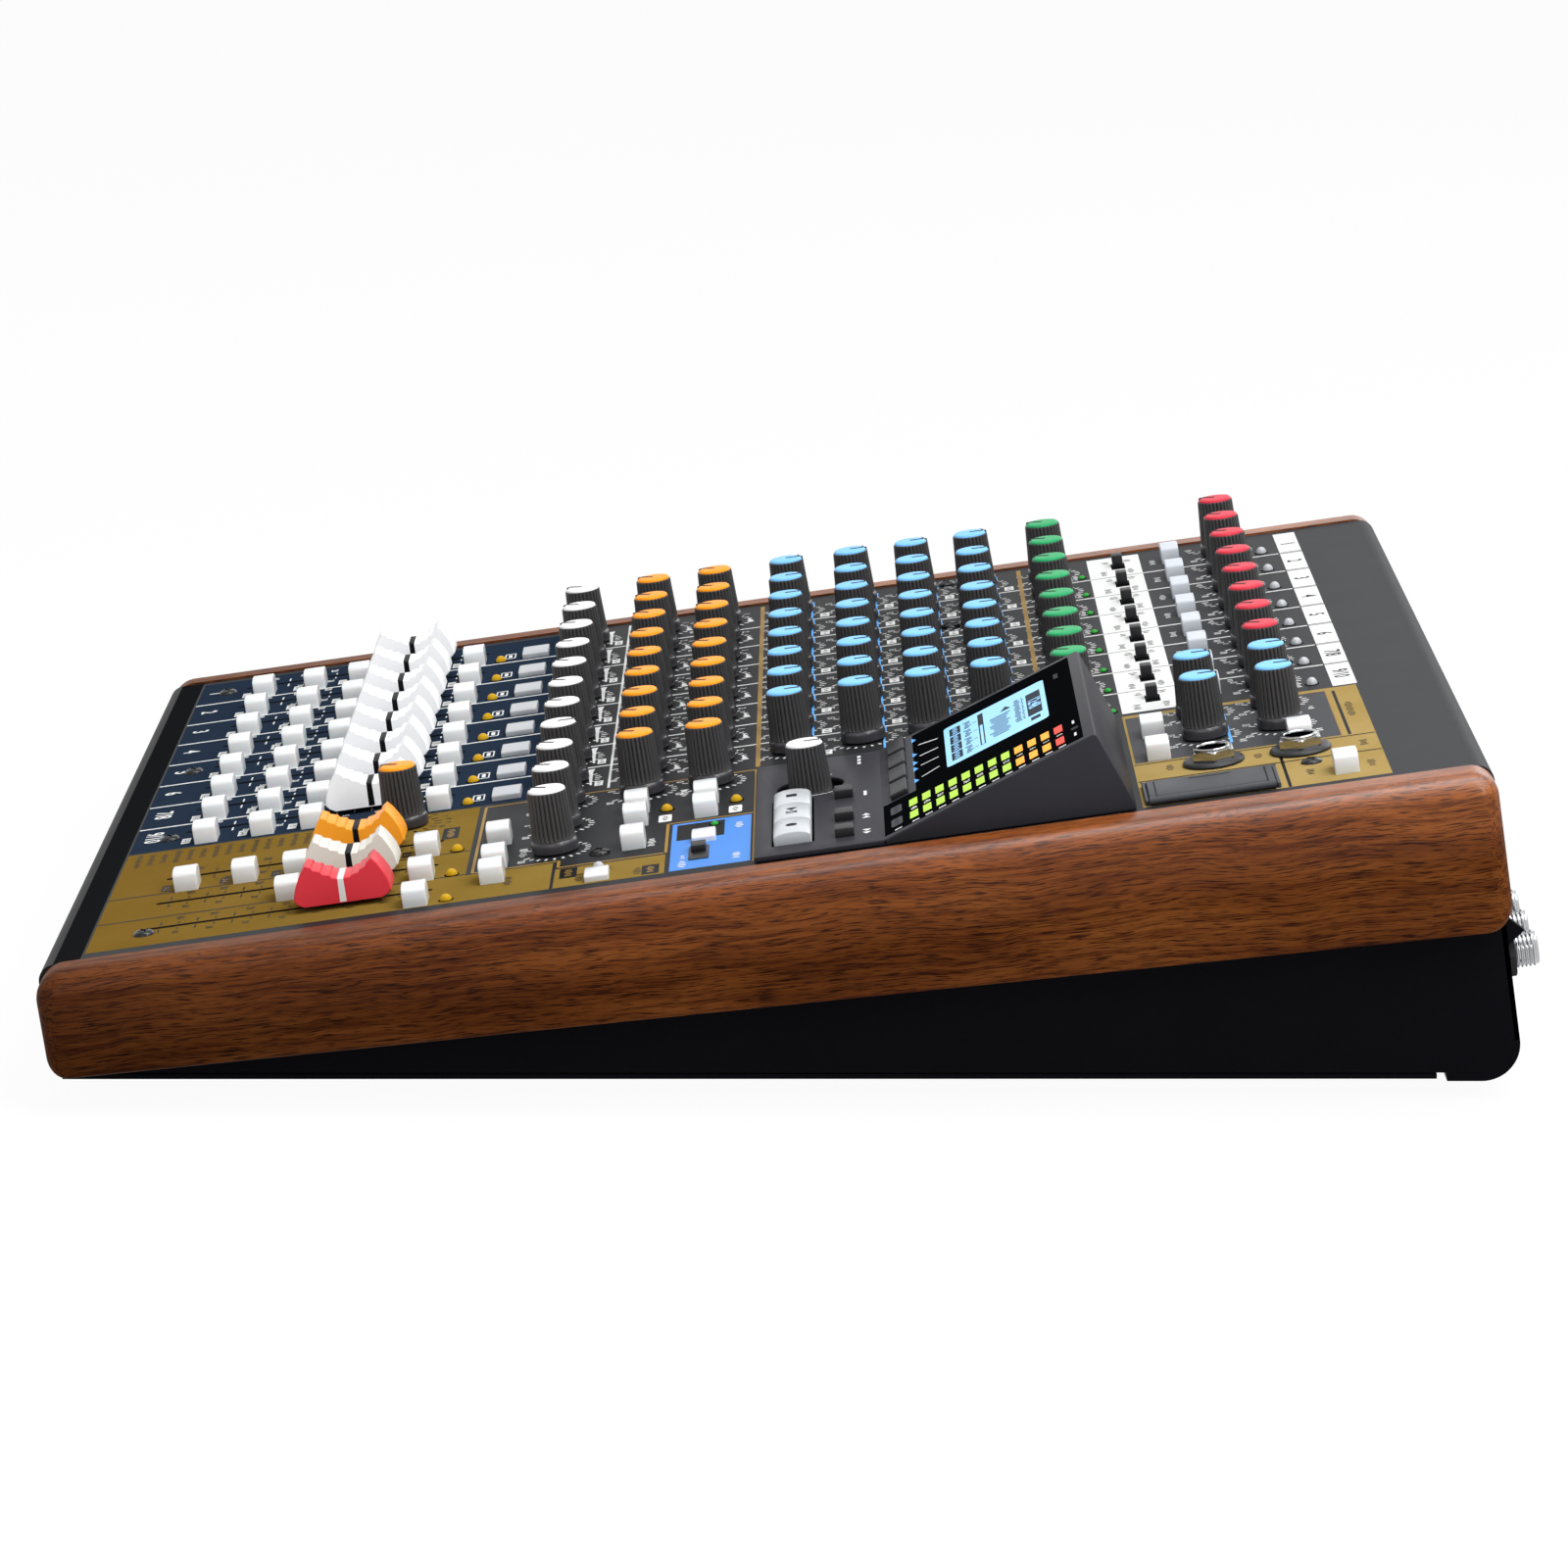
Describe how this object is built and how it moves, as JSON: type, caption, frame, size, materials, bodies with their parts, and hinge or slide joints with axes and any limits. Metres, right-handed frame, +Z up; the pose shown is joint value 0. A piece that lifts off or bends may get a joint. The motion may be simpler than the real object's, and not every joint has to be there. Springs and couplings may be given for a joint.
{
  "type": "mixing console",
  "caption": "Compact tabletop mixing console: sloping steel deck with channel knobs, long faders, push buttons and a display pod between wooden side panels, sockets at the rear.",
  "frame": {"origin": "centre of the footprint on the surface the feet stand on", "axes": "+X to the user's right, +Y from the user towards the rear sockets, +Z up"},
  "size_m": [0.343, 0.3594, 0.0929],
  "materials": {
    "wood": "satin",
    "deck": "satin",
    "chassis": "satin",
    "foot": "matte",
    "knob": "satin",
    "cap_white": "satin",
    "cap_orange": "satin",
    "cap_cream": "satin",
    "cap_red": "satin",
    "button": "gloss",
    "switch": "satin",
    "pod": "satin",
    "window": "gloss",
    "board": "satin",
    "display": "satin",
    "chrome": "gloss",
    "socket": "satin",
    "key": "satin",
    "door": "satin",
    "rocker": "gloss"
  },
  "bodies": {
    "console": {"top_panel": "deck", "chassis": "chassis", "side_panel_right": "wood", "side_panel_left": "wood", "fader_board": "board", "control_board": "board", "display_window": "window", "display_board": "display", "display_pod": "pod", "phones_jack_front": "chrome", "phones_jack_rear": "chrome", "rear_socket_board": "socket", "bottom_cover": "chassis", "foot_front_left": "foot", "foot_front_right": "foot", "foot_rear_left": "foot", "foot_rear_right": "foot"},
    "knob_pan": {"knob_pan": "knob"},
    "knob_aux_1": {"knob_aux_1": "knob"},
    "knob_aux_2": {"knob_aux_2": "knob"},
    "knob_eq_low": {"knob_eq_low": "knob"},
    "knob_eq_mid_gain": {"knob_eq_mid_gain": "knob"},
    "knob_eq_mid_freq": {"knob_eq_mid_freq": "knob"},
    "knob_eq_high": {"knob_eq_high": "knob"},
    "knob_comp": {"knob_comp": "knob"},
    "knob_gain": {"knob_gain": "knob"},
    "knob_level_1": {"knob_level_1": "knob"},
    "knob_level_2": {"knob_level_2": "knob"},
    "knob_level_3": {"knob_level_3": "knob"},
    "knob_aux_master_1": {"knob_aux_master_1": "knob"},
    "knob_aux_master_2": {"knob_aux_master_2": "knob"},
    "knob_master_eq_1": {"knob_master_eq_1": "knob"},
    "knob_master_eq_2": {"knob_master_eq_2": "knob"},
    "knob_master_eq_3": {"knob_master_eq_3": "knob"},
    "knob_master_eq_4": {"knob_master_eq_4": "knob"},
    "knob_effect_select": {"knob_effect_select": "knob"},
    "knob_jog": {"knob_jog": "knob"},
    "fader_channel_1": {"fader_channel_1": "cap_white"},
    "fader_channel_2": {"fader_channel_2": "cap_white"},
    "fader_channel_3": {"fader_channel_3": "cap_white"},
    "fader_channel_4": {"fader_channel_4": "cap_white"},
    "fader_channel_5": {"fader_channel_5": "cap_white"},
    "fader_channel_6": {"fader_channel_6": "cap_white"},
    "fader_channel_7": {"fader_channel_7": "cap_white"},
    "fader_channel_8": {"fader_channel_8": "cap_white"},
    "fader_fx": {"fader_fx": "cap_orange"},
    "fader_sub": {"fader_sub": "cap_cream"},
    "fader_main": {"fader_main": "cap_red"},
    "button_assign_1": {"button_assign_1": "button"},
    "button_assign_2": {"button_assign_2": "button"},
    "button_assign_3": {"button_assign_3": "button"},
    "button_mute": {"button_mute": "button"},
    "button_record": {"button_record": "button"},
    "button_low_cut": {"button_low_cut": "button"},
    "key_stop": {"key_stop": "key"},
    "key_play": {"key_play": "key"},
    "key_record": {"key_record": "key"},
    "switch_input": {"switch_input": "switch"},
    "card_door": {"card_door": "door"},
    "power_rocker": {"power_rocker": "rocker"}
  },
  "joints": [
    {"name": "turn_pan", "type": "hinge", "parent": "console", "child": "knob_pan", "pos_m": [0.0381, -0.05768, 0.05032], "axis": [0, 0.1421, -0.9899], "range_deg": [-150, 150]},
    {"name": "turn_aux_1", "type": "hinge", "parent": "console", "child": "knob_aux_1", "pos_m": [0.0381, -0.03748, 0.05322], "axis": [0, 0.1421, -0.9899], "range_deg": [0, 300]},
    {"name": "turn_aux_2", "type": "hinge", "parent": "console", "child": "knob_aux_2", "pos_m": [0.0381, -0.02006, 0.05572], "axis": [0, 0.1421, -0.9899], "range_deg": [0, 300]},
    {"name": "turn_eq_low", "type": "hinge", "parent": "console", "child": "knob_eq_low", "pos_m": [0.0381, 0.00033, 0.05865], "axis": [0, 0.1421, -0.9899], "range_deg": [-150, 150]},
    {"name": "turn_eq_mid_gain", "type": "hinge", "parent": "console", "child": "knob_eq_mid_gain", "pos_m": [0.0381, 0.01854, 0.06127], "axis": [0, 0.1421, -0.9899], "range_deg": [-150, 150]},
    {"name": "turn_eq_mid_freq", "type": "hinge", "parent": "console", "child": "knob_eq_mid_freq", "pos_m": [0.0381, 0.03567, 0.06373], "axis": [0, 0.1421, -0.9899], "range_deg": [-150, 150]},
    {"name": "turn_eq_high", "type": "hinge", "parent": "console", "child": "knob_eq_high", "pos_m": [0.0381, 0.05249, 0.06614], "axis": [0, 0.1421, -0.9899], "range_deg": [-150, 150]},
    {"name": "turn_comp", "type": "hinge", "parent": "console", "child": "knob_comp", "pos_m": [0.0381, 0.07298, 0.06908], "axis": [0, 0.1421, -0.9899], "range_deg": [0, 300]},
    {"name": "turn_gain", "type": "hinge", "parent": "console", "child": "knob_gain", "pos_m": [0.0381, 0.12188, 0.0761], "axis": [0, 0.1421, -0.9899], "range_deg": [0, 300]},
    {"name": "turn_level_1", "type": "hinge", "parent": "console", "child": "knob_level_1", "pos_m": [0.0635, -0.05768, 0.05032], "axis": [0, 0.1421, -0.9899], "range_deg": [0, 300]},
    {"name": "turn_level_2", "type": "hinge", "parent": "console", "child": "knob_level_2", "pos_m": [0.0889, -0.05768, 0.05032], "axis": [0, 0.1421, -0.9899], "range_deg": [0, 300]},
    {"name": "turn_level_3", "type": "hinge", "parent": "console", "child": "knob_level_3", "pos_m": [0.1143, -0.05768, 0.05032], "axis": [0, 0.1421, -0.9899], "range_deg": [0, 300]},
    {"name": "turn_aux_master_1", "type": "hinge", "parent": "console", "child": "knob_aux_master_1", "pos_m": [0.0635, -0.03748, 0.05322], "axis": [0, 0.1421, -0.9899], "range_deg": [0, 300]},
    {"name": "turn_aux_master_2", "type": "hinge", "parent": "console", "child": "knob_aux_master_2", "pos_m": [0.0635, -0.02006, 0.05572], "axis": [0, 0.1421, -0.9899], "range_deg": [0, 300]},
    {"name": "turn_master_eq_1", "type": "hinge", "parent": "console", "child": "knob_master_eq_1", "pos_m": [0.0635, 0.10283, 0.07337], "axis": [0, 0.1421, -0.9899], "range_deg": [-150, 150]},
    {"name": "turn_master_eq_2", "type": "hinge", "parent": "console", "child": "knob_master_eq_2", "pos_m": [0.0889, 0.10283, 0.07337], "axis": [0, 0.1421, -0.9899], "range_deg": [-150, 150]},
    {"name": "turn_master_eq_3", "type": "hinge", "parent": "console", "child": "knob_master_eq_3", "pos_m": [0.0635, 0.12154, 0.07605], "axis": [0, 0.1421, -0.9899], "range_deg": [-150, 150]},
    {"name": "turn_master_eq_4", "type": "hinge", "parent": "console", "child": "knob_master_eq_4", "pos_m": [0.0889, 0.12154, 0.07605], "axis": [0, 0.1421, -0.9899], "range_deg": [-150, 150]},
    {"name": "turn_effect_select", "type": "hinge", "parent": "console", "child": "knob_effect_select", "pos_m": [0.0635, -0.09759, 0.04459], "axis": [0, 0.1421, -0.9899], "range_deg": [0, 300]},
    {"name": "turn_jog", "type": "hinge", "parent": "console", "child": "knob_jog", "pos_m": [0.0889, 0.00496, 0.05932], "axis": [0, 0.1421, -0.9899], "continuous": true},
    {"name": "slide_channel_1", "type": "slide", "parent": "console", "child": "fader_channel_1", "axis": [0, 0.9899, 0.1421], "range_m": [-0.044, 0.016]},
    {"name": "slide_channel_2", "type": "slide", "parent": "console", "child": "fader_channel_2", "axis": [0, 0.9899, 0.1421], "range_m": [-0.044, 0.016]},
    {"name": "slide_channel_3", "type": "slide", "parent": "console", "child": "fader_channel_3", "axis": [0, 0.9899, 0.1421], "range_m": [-0.044, 0.016]},
    {"name": "slide_channel_4", "type": "slide", "parent": "console", "child": "fader_channel_4", "axis": [0, 0.9899, 0.1421], "range_m": [-0.044, 0.016]},
    {"name": "slide_channel_5", "type": "slide", "parent": "console", "child": "fader_channel_5", "axis": [0, 0.9899, 0.1421], "range_m": [-0.044, 0.016]},
    {"name": "slide_channel_6", "type": "slide", "parent": "console", "child": "fader_channel_6", "axis": [0, 0.9899, 0.1421], "range_m": [-0.044, 0.016]},
    {"name": "slide_channel_7", "type": "slide", "parent": "console", "child": "fader_channel_7", "axis": [0, 0.9899, 0.1421], "range_m": [-0.044, 0.016]},
    {"name": "slide_channel_8", "type": "slide", "parent": "console", "child": "fader_channel_8", "axis": [0, 0.9899, 0.1421], "range_m": [-0.044, 0.016]},
    {"name": "slide_fx", "type": "slide", "parent": "console", "child": "fader_fx", "axis": [0, 0.9899, 0.1421], "range_m": [-0.044, 0.016]},
    {"name": "slide_sub", "type": "slide", "parent": "console", "child": "fader_sub", "axis": [0, 0.9899, 0.1421], "range_m": [-0.044, 0.016]},
    {"name": "slide_main", "type": "slide", "parent": "console", "child": "fader_main", "axis": [0, 0.9899, 0.1421], "range_m": [-0.044, 0.016]},
    {"name": "press_assign_1", "type": "slide", "parent": "console", "child": "button_assign_1", "axis": [0, 0.1421, -0.9899], "range_m": [0, 0.001], "stiffness_N_per_m": 400},
    {"name": "press_assign_2", "type": "slide", "parent": "console", "child": "button_assign_2", "axis": [0, 0.1421, -0.9899], "range_m": [0, 0.001], "stiffness_N_per_m": 400},
    {"name": "press_assign_3", "type": "slide", "parent": "console", "child": "button_assign_3", "axis": [0, 0.1421, -0.9899], "range_m": [0, 0.001], "stiffness_N_per_m": 400},
    {"name": "press_mute", "type": "slide", "parent": "console", "child": "button_mute", "axis": [0, 0.1421, -0.9899], "range_m": [0, 0.001], "stiffness_N_per_m": 400},
    {"name": "press_record", "type": "slide", "parent": "console", "child": "button_record", "axis": [0, 0.1421, -0.9899], "range_m": [0, 0.0008], "stiffness_N_per_m": 400},
    {"name": "press_low_cut", "type": "slide", "parent": "console", "child": "button_low_cut", "axis": [0, 0.1421, -0.9899], "range_m": [0, 0.001], "stiffness_N_per_m": 400},
    {"name": "press_stop", "type": "slide", "parent": "console", "child": "key_stop", "axis": [0, 0.1421, -0.9899], "range_m": [0, 0.0006], "stiffness_N_per_m": 500},
    {"name": "press_play", "type": "slide", "parent": "console", "child": "key_play", "axis": [0, 0.1421, -0.9899], "range_m": [0, 0.0006], "stiffness_N_per_m": 500},
    {"name": "press_key_record", "type": "slide", "parent": "console", "child": "key_record", "axis": [0, 0.1421, -0.9899], "range_m": [0, 0.0006], "stiffness_N_per_m": 500},
    {"name": "shift_input", "type": "slide", "parent": "console", "child": "switch_input", "axis": [1, 0, 0], "range_m": [0, 0.003]},
    {"name": "door_hinge", "type": "hinge", "parent": "console", "child": "card_door", "pos_m": [0.1542, 0.10053, 0.07425], "axis": [0, 0.9899, 0.1421], "range_deg": [0, 100]},
    {"name": "rocker_hinge", "type": "hinge", "parent": "console", "child": "power_rocker", "pos_m": [-0.112, 0.17164, 0.03425], "axis": [1, 0, 0], "range_deg": [-14, 0]}
  ]
}
